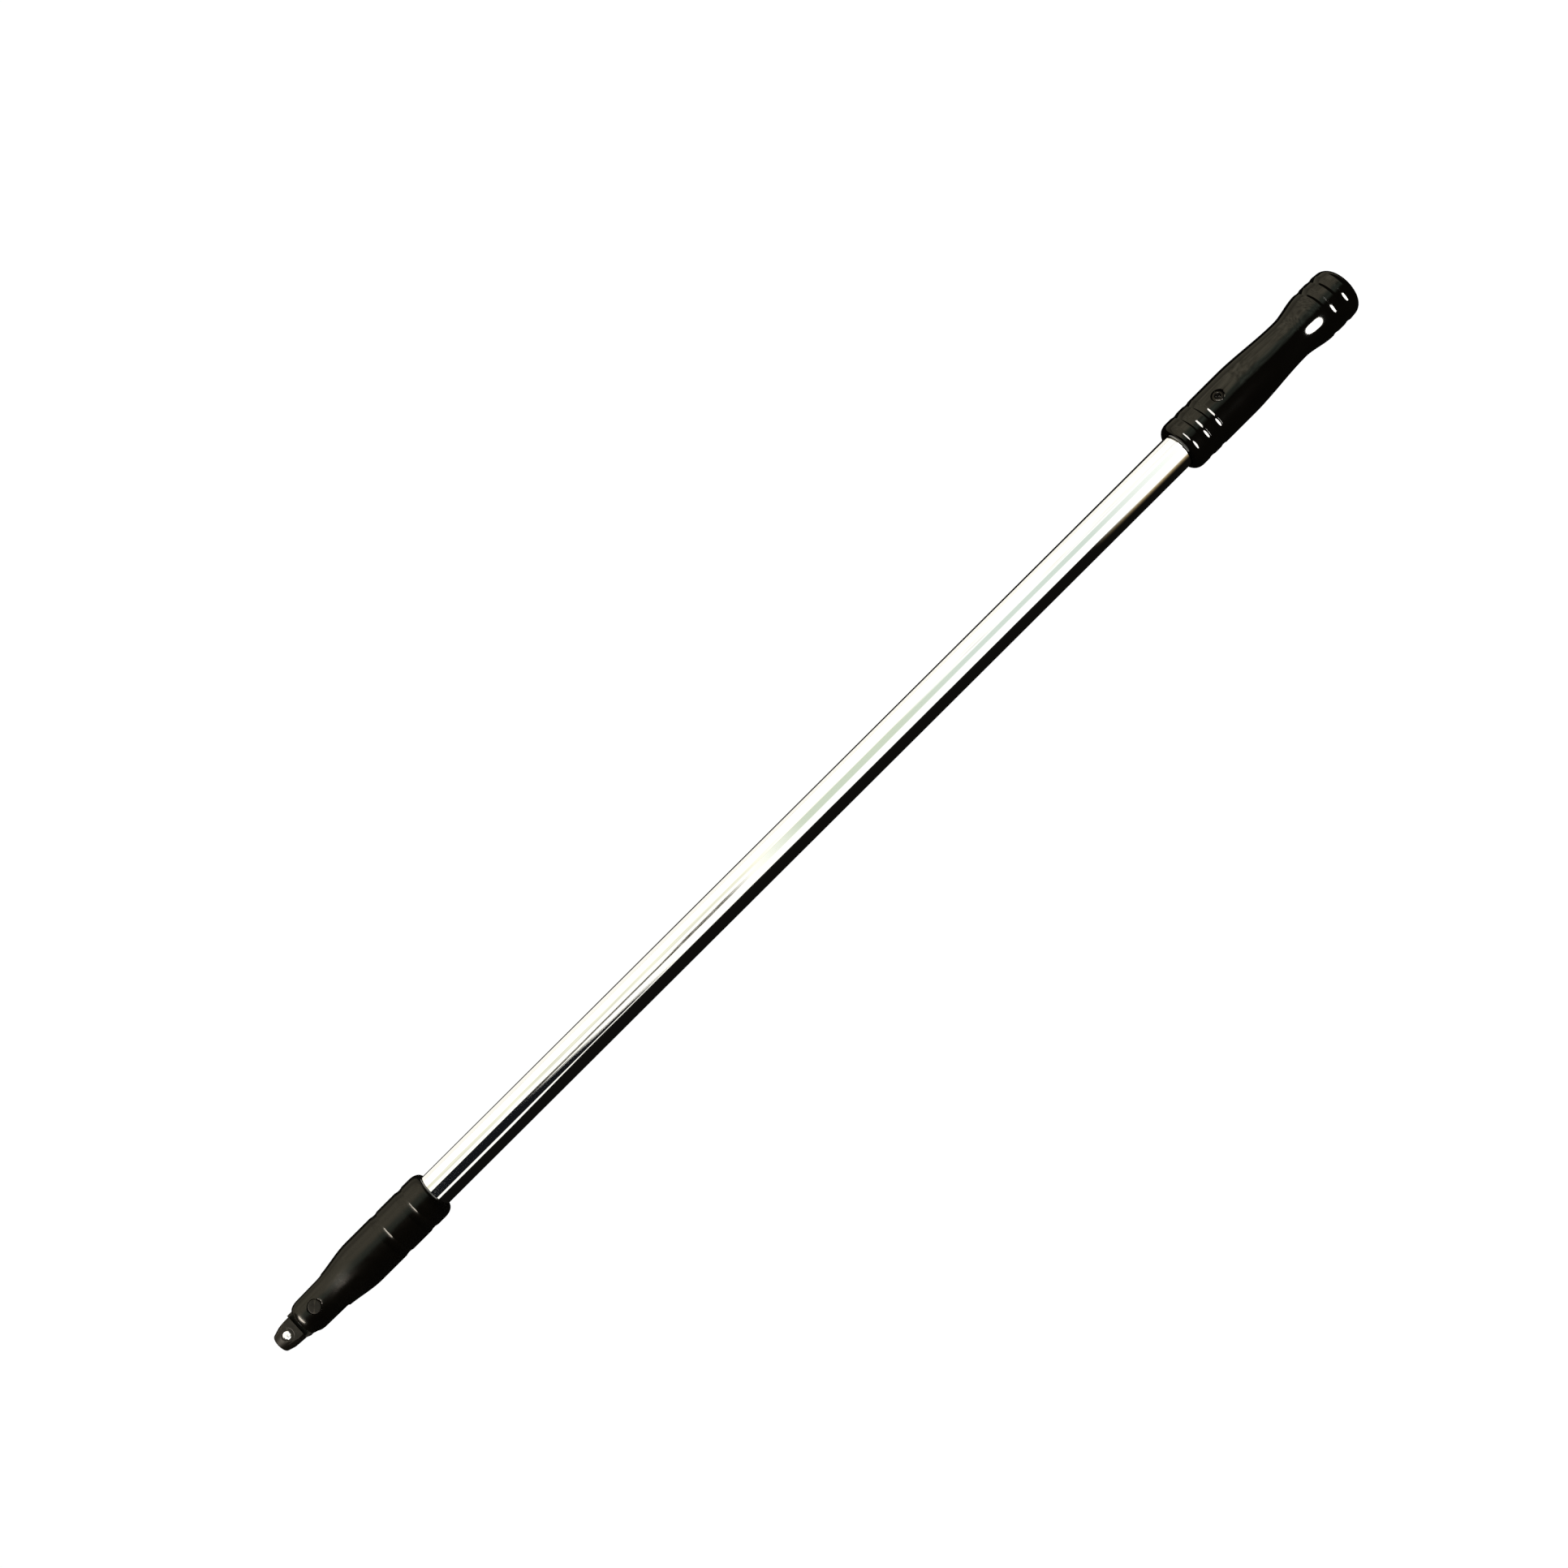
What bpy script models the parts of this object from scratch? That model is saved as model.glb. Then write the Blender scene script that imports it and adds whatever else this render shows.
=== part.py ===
"""Flex-head breaker bar with a 12.7 mm square drive.

The bar lies along X, the drive at -X and the grip at +X, and the hinge pin of the drive stands along Z.
The origin is below the middle of the bar, on the surface that the grip's flare rests on.
Everything is in metres. A name ending in _AT is a distance along the bar, counted from the drive's tip.
"""

import math

import bmesh
import bpy
from mathutils import Matrix

NAME = "breaker_bar"
LENGTH = 0.762
GAP = 0.0003  # between pieces that touch on the real tool
SEGMENTS = 24  # sides of a turned piece, one of them facing straight down
OVERSHOOT = 0.002  # how far a cutter runs past the wall that it cuts

BAR_R = 0.009525
BAR_CHAMFER = 0.0010

# Yoke: ears, waist, body with two grooves, socket for the bar
EAR_END_AT = 0.0165
EAR_END_R = 0.0080
WAIST_FROM_AT = 0.0225
WAIST_TO_AT = 0.0350
WAIST_START_R = 0.0104
WAIST_END_R = 0.0106
YOKE_BODY_AT = 0.0600
YOKE_BODY_R = 0.0134
YOKE_GROOVES_AT = (0.0799, 0.0977)
YOKE_GROOVE_WIDTH = 0.0050
YOKE_GROOVE_DEPTH = 0.0004
YOKE_MOUTH_AT = 0.1108
SOCKET_FLOOR_AT = 0.0720
SLOT_FLOOR_AT = 0.0398
MOUTH_ROUND = (0.0055, 0.0030)  # along the bar and across it

# Hinge
PIN_AT = 0.0286
PIN_R = 0.0037
PIN_LENGTH = 0.0200

# Drive: the square, its nose, and the tongue that turns on the pin
SQUARE = 0.0126
SQUARE_CORNER_R = 0.0082  # the square's corners are turned down to this radius
NOSE_LENGTH = 0.0105
NOSE_FLAT_R = 0.0041
NOSE_ROUND = 0.0012
NOSE_SLOPE = math.radians(18)  # of the cone that follows the nose's rounding
SHOULDER_AT = PIN_AT - 0.0145  # clears the ears' corners when the drive swings
TONGUE_THICKNESS = 0.0080
TONGUE_WIDTH = 0.0148
TONGUE_FROM_AT = 0.0132
KNUCKLE_R = 0.0093
SLOT_WIDTH = TONGUE_THICKNESS + 2 * GAP

# Detent of the square: a ball on a spring, held in by the lip of its hole
BALL_AT = 0.0073
BALL_R = 0.00278
BALL_PROUD = 0.0012
BALL_LIP_R = 0.0026
BALL_LIP_DEPTH = 0.0004
BALL_HOLE_R = BALL_R + GAP
BALL_HOLE_DEPTH = 0.0098
DETENT_COIL_R = 0.0020
DETENT_WIRE_R = 0.0003
DETENT_TURNS = 5

# Tension plunger that holds the drive at its angle
PLUNGER_R = 0.0025
PLUNGER_LENGTH = 0.0070
PLUNGER_HOLE_TO_AT = 0.0580
TENSION_COIL_R = 0.0019
TENSION_WIRE_R = 0.00035
TENSION_TURNS = 7

# Grip: shoulder, two grooves, set screw, waist, flare, two grooves, rounded end
GRIP_MOUTH_AT = 0.6451
GRIP_MOUTH_R = 0.0109
GRIP_SHOULDER = 0.0045
GRIP_BODY_R = 0.0142
GRIP_TAPER_AT = 0.6860
GRIP_WAIST_AT = 0.7250
GRIP_WAIST_R = 0.0120
GRIP_FLARE_R = 0.0144
GRIP_END_BODY_R = 0.01415
GRIP_GROOVES_AT = (0.6556, 0.6639)
GRIP_END_GROOVES_AT = (0.7442, 0.7525)
GRIP_GROOVE_WIDTH = 0.0044
GRIP_GROOVE_DEPTH = 0.00035
GRIP_END_ROUND_R = 0.0047
GRIP_BORE_FLOOR_AT = 0.7520

# Set screw of the grip, 1/4 in, which leans this far from +Z towards +Y
SCREW_AT = 0.6743
SCREW_LEAN = math.radians(16)
SCREW_R = 0.0032
SCREW_TOP_R = 0.0137  # distances from the bar's axis
SCREW_STEP_R = 0.0097
SCREW_POINT_R = 0.0080
SCREW_POINT_WIDTH = 0.0042
SCREW_CHAMFER = 0.0005
HEX_ACROSS_FLATS = 0.0032
HEX_DEPTH = 0.0028

AXIS_Z = GRIP_FLARE_R  # height of the bar's axis: the flare touches the ground
HALF_STEP = math.pi / SEGMENTS
QUARTER = math.pi / 2

# Name: colour, metallic, roughness
FINISHES = {
    "chrome": ((0.80, 0.81, 0.82), 1.0, 0.06),
    "black_enamel": ((0.012, 0.011, 0.010), 0.0, 0.22),
    "black_phosphate": ((0.030, 0.028, 0.026), 0.8, 0.45),
    "spring_steel": ((0.35, 0.35, 0.36), 1.0, 0.35),
}


def world_x(at):
    return at - LENGTH / 2


def empty_the_scene():
    for obj in list(bpy.data.objects):
        bpy.data.objects.remove(obj, do_unlink=True)


def new_collection(name):
    collection = bpy.data.collections.new(name)
    bpy.context.scene.collection.children.link(collection)
    return collection


def new_materials():
    made = {}
    for name, (colour, metallic, roughness) in FINISHES.items():
        material = bpy.data.materials.new(name)
        material.use_nodes = True
        shader = material.node_tree.nodes["Principled BSDF"]
        shader.inputs["Base Color"].default_value = (*colour, 1.0)
        shader.inputs["Metallic"].default_value = metallic
        shader.inputs["Roughness"].default_value = roughness
        made[name] = material
    return made


def add_part(name, data, finish, location=(0, 0, 0), rotation=(0, 0, 0), parent=None):
    obj = bpy.data.objects.new(name, data)
    obj.location = location
    obj.rotation_euler = rotation
    obj.parent = parent
    data.materials.append(materials[finish])
    parts.objects.link(obj)
    return obj


def add_cutter(name, data, location=(0, 0, 0), rotation=(0, 0, 0)):
    obj = bpy.data.objects.new(name, data)
    obj.location = location
    obj.rotation_euler = rotation
    obj.hide_render = True
    obj.display_type = "WIRE"
    cutters.objects.link(obj)
    return obj


def mesh_of(name, bm):
    mesh = bpy.data.meshes.new(name)
    bm.to_mesh(mesh)
    bm.free()
    mesh.shade_smooth()
    mesh.set_sharp_from_angle(angle=math.radians(30))
    return mesh


def box(name, size, centre=(0, 0, 0)):
    bm = bmesh.new()
    bmesh.ops.create_cube(bm, size=1.0, matrix=Matrix.Translation(centre) @ Matrix.Diagonal((*size, 1.0)))
    return mesh_of(name, bm)


def cylinder(name, radius, length, sides=SEGMENTS):
    """Along Z and centred, its flats at the given radius."""
    bm = bmesh.new()
    corner = radius / math.cos(math.pi / sides)
    bmesh.ops.create_cone(
        bm, cap_ends=True, segments=sides, radius1=corner, radius2=corner, depth=length,
        matrix=Matrix.Rotation(math.pi / sides, 4, "Z"),
    )
    return mesh_of(name, bm)


def outline_mesh(name, outline):
    """A turned piece's outline as (distance along Z, radius) points, starting and ending on the axis.

    It stands half a step round, and each point lies in the middle of a flat side.
    """
    bm = bmesh.new()
    verts = [bm.verts.new((r, r * math.tan(HALF_STEP), at)) for at, r in reversed(outline)]
    for first, second in zip(verts, verts[1:]):
        bm.edges.new((first, second))
    mesh = bpy.data.meshes.new(name)
    bm.to_mesh(mesh)
    bm.free()
    return mesh


def turn(obj):
    screw = obj.modifiers.new("turn", "SCREW")
    screw.axis = "Z"
    screw.angle = 2 * math.pi
    screw.steps = SEGMENTS
    screw.render_steps = SEGMENTS
    screw.use_merge_vertices = True
    screw.merge_threshold = 1e-5
    screw.use_smooth_shade = True
    return obj


def turned_part(name, outline, finish, location, rotation, parent=None):
    return turn(add_part(name, outline_mesh(name, outline), finish, location, rotation, parent))


def turned_cutter(name, outline, location, rotation):
    return turn(add_cutter(name, outline_mesh(name, outline), location, rotation))


def combine(obj, other, operation="DIFFERENCE"):
    boolean = obj.modifiers.new(other.name, "BOOLEAN")
    boolean.operation = operation
    boolean.object = other
    boolean.solver = "EXACT"


def ellipse_arc(centre, semi_axes, start, end, steps):
    """Points (at, radius) from angle start to end, both from +at towards +radius."""
    angles = [start + (end - start) * i / steps for i in range(steps + 1)]
    return [(centre[0] + semi_axes[0] * math.cos(a), centre[1] + semi_axes[1] * math.sin(a)) for a in angles]


def s_curve(start, end, steps=8):
    """Points of a smooth step that leaves start and reaches end level."""
    made = []
    for i in range(steps + 1):
        u = i / steps
        ease = u * u * (3 - 2 * u)
        made.append((start[0] + (end[0] - start[0]) * u, start[1] + (end[1] - start[1]) * ease))
    return made


def groove(middle_at, width, depth, radius, steps=6):
    """Points across a hollow groove with crisp edges."""
    made = []
    for i in range(steps + 1):
        u = 2 * i / steps - 1
        made.append((middle_at + u * width / 2, radius - depth * (1 - u * u)))
    return made


def coil(radius, wire_r, turns, length, points_per_turn=10):
    """A coil spring along Z from 0 to length, as a curve."""
    curve = bpy.data.curves.new("coil", "CURVE")
    curve.dimensions = "3D"
    curve.bevel_depth = wire_r
    curve.bevel_resolution = 2
    curve.use_fill_caps = True
    count = turns * points_per_turn + 1
    spline = curve.splines.new("POLY")
    spline.points.add(count - 1)
    for i, point in enumerate(spline.points):
        angle = 2 * math.pi * i / points_per_turn
        z = wire_r + (length - 2 * wire_r) * i / (count - 1)
        point.co = (radius * math.cos(angle), radius * math.sin(angle), z, 1.0)
    return curve


# Local Z of a piece placed like this runs along the bar, and its zero is at the drive's tip.
ALONG_BAR = {"location": (world_x(0), 0, AXIS_Z), "rotation": (0, QUARTER, 0)}


def make_bar():
    start, end = SOCKET_FLOOR_AT + GAP, GRIP_BORE_FLOOR_AT - GAP
    outline = [
        (start, 0), (start, BAR_R - BAR_CHAMFER), (start + BAR_CHAMFER, BAR_R),
        (end - BAR_CHAMFER, BAR_R), (end, BAR_R - BAR_CHAMFER), (end, 0),
    ]
    bar = turned_part("bar", outline, "chrome", **ALONG_BAR)
    seat = screw_space("screw_seat", SCREW_POINT_WIDTH / 2 + GAP, SCREW_POINT_R - GAP)
    combine(bar, add_cutter("screw_seat", seat))


def yoke_outline():
    nose = ellipse_arc(
        (WAIST_FROM_AT, EAR_END_R), (WAIST_FROM_AT - EAR_END_AT, WAIST_START_R - EAR_END_R),
        math.pi, QUARTER, 5,
    )
    body = s_curve((WAIST_TO_AT, WAIST_END_R), (YOKE_BODY_AT, YOKE_BODY_R))
    grooves = [
        point
        for at in YOKE_GROOVES_AT
        for point in groove(at, YOKE_GROOVE_WIDTH, YOKE_GROOVE_DEPTH, YOKE_BODY_R)
    ]
    mouth = ellipse_arc(
        (YOKE_MOUTH_AT - MOUTH_ROUND[0], YOKE_BODY_R - MOUTH_ROUND[1]), MOUTH_ROUND,
        QUARTER, 0, 4,
    )
    socket_r = BAR_R + GAP
    socket = [(YOKE_MOUTH_AT, socket_r), (SOCKET_FLOOR_AT, socket_r), (SOCKET_FLOOR_AT, 0)]
    # The mouth's rounding ends where the socket opens.
    mouth = [point for point in mouth if point[1] > socket_r]
    return [(EAR_END_AT, 0)] + nose + body + grooves + mouth + socket


def make_yoke():
    yoke = turned_part("yoke", yoke_outline(), "black_enamel", **ALONG_BAR)
    slot_length = SLOT_FLOOR_AT - EAR_END_AT + OVERSHOOT
    slot_at = SLOT_FLOOR_AT - slot_length / 2
    slot = box("ear_slot", (slot_length, 4 * YOKE_BODY_R, SLOT_WIDTH))
    slot = add_cutter("ear_slot", slot, (world_x(slot_at), 0, AXIS_Z))
    pin_hole = cylinder("yoke_pin_hole", PIN_R + GAP, 4 * YOKE_BODY_R)
    pin_hole = add_cutter("yoke_pin_hole", pin_hole, (world_x(PIN_AT), 0, AXIS_Z))
    hole_length = PLUNGER_HOLE_TO_AT - SLOT_FLOOR_AT + OVERSHOOT
    plunger_hole = add_cutter(
        "plunger_hole", cylinder("plunger_hole", PLUNGER_R + GAP, hole_length),
        (world_x(PLUNGER_HOLE_TO_AT - hole_length / 2), 0, AXIS_Z), (0, QUARTER, 0),
    )
    for cutter in (slot, pin_hole, plunger_hole):
        combine(yoke, cutter)


def make_hinge_pin():
    half, chamfer = PIN_LENGTH / 2, 0.0004
    outline = [
        (-half, 0), (-half, PIN_R - chamfer), (-half + chamfer, PIN_R),
        (half - chamfer, PIN_R), (half, PIN_R - chamfer), (half, 0),
    ]
    turned_part("hinge_pin", outline, "black_phosphate", (world_x(PIN_AT), 0, AXIS_Z), (0, 0, 0))


def square_blank():
    """Turned shape that rounds the square's corners and nose. Local Z is 0 on the pin's axis."""
    tip = ellipse_arc(
        (NOSE_ROUND - PIN_AT, NOSE_FLAT_R), (NOSE_ROUND, NOSE_ROUND), math.pi, QUARTER + NOSE_SLOPE, 4
    )
    shoulder = SHOULDER_AT - PIN_AT
    outline = [(-PIN_AT, 0)] + tip + [
        (NOSE_LENGTH - PIN_AT, SQUARE_CORNER_R), (shoulder, SQUARE_CORNER_R), (shoulder, 0),
    ]
    return turned_cutter("square_blank", outline, (world_x(PIN_AT), 0, AXIS_Z), (0, QUARTER, 0))


def make_drive():
    """The drive's origin is on the hinge pin's axis."""
    hinge = (world_x(PIN_AT), 0, AXIS_Z)
    # The square starts out longer than the blank at the tip, and the blank trims it.
    square_length = SHOULDER_AT + OVERSHOOT
    square_x = SHOULDER_AT - PIN_AT - square_length / 2
    drive = add_part(
        "drive", box("drive", (square_length, SQUARE, SQUARE), (square_x, 0, 0)), "black_phosphate", hinge
    )
    combine(drive, square_blank(), "INTERSECT")
    tongue_length = PIN_AT - TONGUE_FROM_AT
    tongue = box("tongue", (tongue_length, TONGUE_WIDTH, TONGUE_THICKNESS), (-tongue_length / 2, 0, 0))
    tongue = add_cutter("tongue", tongue, hinge)
    knuckle = add_cutter("knuckle", cylinder("knuckle", KNUCKLE_R, TONGUE_THICKNESS, 2 * SEGMENTS), hinge)
    combine(tongue, knuckle, "UNION")
    combine(drive, tongue, "UNION")
    combine(drive, add_cutter("drive_pin_hole", cylinder("drive_pin_hole", PIN_R + GAP, 2 * SQUARE), hinge))
    combine(drive, ball_hole())
    return drive


def ball_hole():
    """Hole under the square's top face, narrowed at its mouth by the lip that keeps the ball in."""
    top = SQUARE / 2
    outline = [
        (top - BALL_HOLE_DEPTH, 0), (top - BALL_HOLE_DEPTH, BALL_HOLE_R),
        (top - BALL_LIP_DEPTH, BALL_HOLE_R), (top - BALL_LIP_DEPTH, BALL_LIP_R),
        (top + OVERSHOOT, BALL_LIP_R), (top + OVERSHOOT, 0),
    ]
    return turned_cutter("ball_hole", outline, (world_x(BALL_AT), 0, AXIS_Z), (0, 0, 0))


def ball_height():
    """Of the ball's centre above the bar's axis."""
    return SQUARE / 2 + BALL_PROUD - BALL_R


def make_detent(drive):
    here = BALL_AT - PIN_AT
    bm = bmesh.new()
    bmesh.ops.create_uvsphere(bm, u_segments=20, v_segments=12, radius=BALL_R)
    place = (here, 0, ball_height())
    add_part("detent_ball", mesh_of("detent_ball", bm), "chrome", place, parent=drive)
    clear = BALL_R + GAP + DETENT_WIRE_R
    top = ball_height() - math.sqrt(clear**2 - DETENT_COIL_R**2) + DETENT_WIRE_R
    bottom = SQUARE / 2 - BALL_HOLE_DEPTH + GAP
    spring = coil(DETENT_COIL_R, DETENT_WIRE_R, DETENT_TURNS, top - GAP - bottom)
    add_part("detent_spring", spring, "spring_steel", (here, 0, bottom), parent=drive)


def make_tension():
    """Plunger and spring in the hole behind the slot, the plunger's nose on the knuckle."""
    nose_at = PIN_AT + KNUCKLE_R + GAP
    back_at = nose_at + PLUNGER_LENGTH
    nose = ellipse_arc((nose_at + PLUNGER_R, 0), (PLUNGER_R, PLUNGER_R), math.pi, QUARTER, 6)
    outline = nose + [(back_at, PLUNGER_R), (back_at, 0)]
    # The nose's first point stays exactly on the axis.
    outline[0] = (nose_at, 0)
    turned_part(
        "tension_plunger", [(at - nose_at, r) for at, r in outline], "black_phosphate",
        (world_x(nose_at), 0, AXIS_Z), (0, QUARTER, 0),
    )
    start, end = back_at + GAP, PLUNGER_HOLE_TO_AT - GAP
    add_part(
        "tension_spring", coil(TENSION_COIL_R, TENSION_WIRE_R, TENSION_TURNS, end - start), "spring_steel",
        (world_x(start), 0, AXIS_Z), (0, QUARTER, 0),
    )


def grip_outline():
    shoulder = ellipse_arc(
        (GRIP_MOUTH_AT + GRIP_SHOULDER, GRIP_MOUTH_R), (GRIP_SHOULDER, GRIP_BODY_R - GRIP_MOUTH_R),
        math.pi, QUARTER, 5,
    )
    front = [
        point
        for at in GRIP_GROOVES_AT
        for point in groove(at, GRIP_GROOVE_WIDTH, GRIP_GROOVE_DEPTH, GRIP_BODY_R)
    ]
    first, second = GRIP_END_GROOVES_AT
    taper = s_curve((GRIP_TAPER_AT, GRIP_BODY_R), (GRIP_WAIST_AT, GRIP_WAIST_R))
    flare = s_curve((GRIP_WAIST_AT, GRIP_WAIST_R), (first - GRIP_GROOVE_WIDTH / 2, GRIP_FLARE_R))
    back = groove(first, GRIP_GROOVE_WIDTH, GRIP_GROOVE_DEPTH, GRIP_FLARE_R)
    back += groove(second, GRIP_GROOVE_WIDTH, GRIP_GROOVE_DEPTH, GRIP_FLARE_R)
    end = ellipse_arc(
        (LENGTH - GRIP_END_ROUND_R, GRIP_END_BODY_R - GRIP_END_ROUND_R),
        (GRIP_END_ROUND_R, GRIP_END_ROUND_R),
        QUARTER, 0, 5,
    )
    bore_r = BAR_R + GAP
    bore = [(GRIP_BORE_FLOOR_AT, 0), (GRIP_BORE_FLOOR_AT, bore_r), (GRIP_MOUTH_AT, bore_r)]
    return bore + shoulder + front + taper + flare[1:] + back[1:] + end + [(LENGTH, 0)]


def make_grip():
    grip = turned_part("grip", grip_outline(), "black_enamel", **ALONG_BAR)
    hole = add_cutter("screw_hole", screw_space("screw_hole", SCREW_R + GAP, BAR_R - OVERSHOOT))
    combine(grip, hole)


def lean_of_screw():
    """From the screw's own frame, in which it points along Z from the bar's axis, to the world."""
    return Matrix.Translation((world_x(SCREW_AT), 0, AXIS_Z)) @ Matrix.Rotation(-SCREW_LEAN, 4, "X")


def screw_space(name, radius, from_r):
    """A round hole along the screw, from this distance to the bar's axis outwards."""
    length = GRIP_BODY_R + OVERSHOOT - from_r
    mesh = cylinder(name, radius, length)
    mesh.transform(lean_of_screw() @ Matrix.Translation((0, 0, from_r + length / 2)))
    return mesh


def make_grip_screw():
    outline = [
        (SCREW_POINT_R, 0), (SCREW_POINT_R, SCREW_POINT_WIDTH / 2 - SCREW_CHAMFER),
        (SCREW_POINT_R + SCREW_CHAMFER, SCREW_POINT_WIDTH / 2), (SCREW_STEP_R, SCREW_POINT_WIDTH / 2),
        (SCREW_STEP_R + SCREW_CHAMFER, SCREW_R), (SCREW_TOP_R - SCREW_CHAMFER, SCREW_R),
        (SCREW_TOP_R, SCREW_R - SCREW_CHAMFER), (SCREW_TOP_R, 0),
    ]
    place = (world_x(SCREW_AT), 0, AXIS_Z)
    lean = (-SCREW_LEAN, 0, 0)
    screw = turned_part("grip_screw", outline, "black_phosphate", place, lean)
    hexagon = cylinder("hex_socket", HEX_ACROSS_FLATS / 2, HEX_DEPTH + OVERSHOOT, 6)
    hexagon.transform(Matrix.Translation((0, 0, SCREW_TOP_R + (OVERSHOOT - HEX_DEPTH) / 2)))
    combine(screw, add_cutter("hex_socket", hexagon, place, lean))


empty_the_scene()
parts = new_collection(NAME)
cutters = new_collection("cutters")
materials = new_materials()
make_bar()
make_yoke()
make_hinge_pin()
make_detent(make_drive())
make_tension()
make_grip()
make_grip_screw()
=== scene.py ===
"""Looks of the flex-head breaker bar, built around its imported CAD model.

Each node of the CAD model, except the hidden plunger, is replaced by a finer piece with the same sizes and a
procedural finish.
All lengths are in metres. The bar lies along X, with the drive at -X. A name that ends in _AT is a distance
along the bar from the drive's tip, and one that ends in _R is a radius.
"""

import math

import bmesh
import bpy
from mathutils import Matrix, Vector


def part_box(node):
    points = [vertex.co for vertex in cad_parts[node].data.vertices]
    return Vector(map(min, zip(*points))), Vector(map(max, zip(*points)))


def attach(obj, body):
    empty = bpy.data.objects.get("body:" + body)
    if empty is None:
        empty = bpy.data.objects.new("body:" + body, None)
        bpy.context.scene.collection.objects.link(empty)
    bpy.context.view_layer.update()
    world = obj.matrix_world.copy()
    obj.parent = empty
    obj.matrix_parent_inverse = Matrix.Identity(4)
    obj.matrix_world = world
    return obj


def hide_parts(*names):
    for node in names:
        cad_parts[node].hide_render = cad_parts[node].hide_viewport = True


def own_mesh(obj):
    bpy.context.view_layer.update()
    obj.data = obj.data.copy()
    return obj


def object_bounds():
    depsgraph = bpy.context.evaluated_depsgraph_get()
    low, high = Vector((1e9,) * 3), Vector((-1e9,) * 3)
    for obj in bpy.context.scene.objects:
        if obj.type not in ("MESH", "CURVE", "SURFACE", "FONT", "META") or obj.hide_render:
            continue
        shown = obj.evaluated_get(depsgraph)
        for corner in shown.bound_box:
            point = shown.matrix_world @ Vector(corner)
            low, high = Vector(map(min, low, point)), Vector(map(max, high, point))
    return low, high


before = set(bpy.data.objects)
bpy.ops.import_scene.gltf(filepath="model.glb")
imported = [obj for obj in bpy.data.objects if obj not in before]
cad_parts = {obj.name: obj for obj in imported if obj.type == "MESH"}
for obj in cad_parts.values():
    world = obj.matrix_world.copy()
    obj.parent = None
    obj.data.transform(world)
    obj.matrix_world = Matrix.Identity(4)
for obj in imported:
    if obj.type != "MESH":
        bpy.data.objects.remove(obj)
cad_low, cad_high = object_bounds()


def middle_of(node):
    low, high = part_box(node)
    return (low + high) / 2


TIP_X = cad_low.x
LENGTH = cad_high.x - cad_low.x
AXIS_Z = middle_of("bar").z
GAP = 0.0003  # between pieces that touch
TURN_STEPS = 128  # sides of a turned piece
PIN_STEPS = 64  # sides of the pins, balls and holes
KNUCKLE_STEPS = 96
SMALL_STEPS = 48
OVERSHOOT = 0.002  # how far a cutter runs past the wall that it cuts
SLIVER = 0.00001  # edges shorter than this are closed up after a cut
QUARTER = math.pi / 2  # of a turn
SHARP_ANGLE = math.radians(32)  # edges sharper than this break the shading
CORNER_R = 0.0004  # rounding of the turned pieces' corners
FORGED_CORNER_R = 0.0005  # the same on the yoke and the pin

BAR_R = 0.009525
BAR_CHAMFER = 0.0010

# Yoke
EAR_END_AT = 0.0165
EAR_END_R = 0.0080
WAIST_FROM_AT = 0.0225
WAIST_TO_AT = 0.0350
WAIST_START_R = 0.0104
WAIST_END_R = 0.0106
YOKE_BODY_AT = 0.0600
YOKE_BODY_R = 0.0134
YOKE_GROOVES_AT = (0.0799, 0.0977)
YOKE_GROOVE_WIDTH = 0.0050
YOKE_GROOVE_DEPTH = 0.0004
YOKE_MOUTH_AT = 0.1108
SOCKET_FLOOR_AT = 0.0720
SLOT_FLOOR_AT = 0.0398
MOUTH_ROUND = (0.0055, 0.0030)  # along the bar and across it
PLUNGER_HOLE_R = 0.0028
PLUNGER_HOLE_TO_AT = 0.0580
YOKE_EDGE = 0.0003  # rounding of the edges that the slot leaves, where there is room for it

# Hinge pin
PIN_R = 0.0037
PIN_HOLE_CHAMFER = (0.0006, 0.0003)  # across the hole's edge and down into it

# Drive
SQUARE = 0.0126
SQUARE_CORNER_R = 0.0082
DRIVE_EDGE = 0.0005  # as YOKE_EDGE
NOSE_LENGTH = 0.0105
NOSE_FLAT_R = 0.0041
NOSE_ROUND = 0.0012
NOSE_SLOPE = math.radians(18)  # of the cone that follows the nose's rounding
SHOULDER_FROM_PIN = 0.0145
TONGUE_THICKNESS = 0.0080
TONGUE_WIDTH = 0.0148
TONGUE_FROM_AT = 0.0132
KNUCKLE_R = 0.0093
SLOT_WIDTH = TONGUE_THICKNESS + 2 * GAP

# Detent ball in its staked hole
BALL_R = 0.00278
BALL_LIP_R = 0.0026
BALL_LIP_DEPTH = 0.0004
BALL_HOLE_R = BALL_R + GAP
BALL_HOLE_DEPTH = 0.0098
STAKE_R = 0.0040  # of the shallow dish that the staking tool leaves around the ball
STAKE_DEPTH = 0.00015

# Springs, as (coil radius, wire radius, turns)
DETENT_COIL = (0.0020, 0.0003, 5)
TENSION_COIL = (0.0019, 0.00035, 7)

# Grip
GRIP_MOUTH_AT = 0.6451
GRIP_MOUTH_R = 0.0109
GRIP_SHOULDER = 0.0045
GRIP_BODY_R = 0.0142
GRIP_TAPER_AT = 0.6860
GRIP_WAIST_AT = 0.7250
GRIP_WAIST_R = 0.0120
GRIP_FLARE_R = 0.0144
GRIP_END_BODY_R = 0.01415
GRIP_GROOVES_AT = (0.6556, 0.6639)
GRIP_END_GROOVES_AT = (0.7442, 0.7525)
GRIP_GROOVE_WIDTH = 0.0044
GRIP_GROOVE_DEPTH = 0.00035
GRIP_END_ROUND_R = 0.0047
GRIP_BORE_FLOOR_AT = 0.7520

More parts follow.
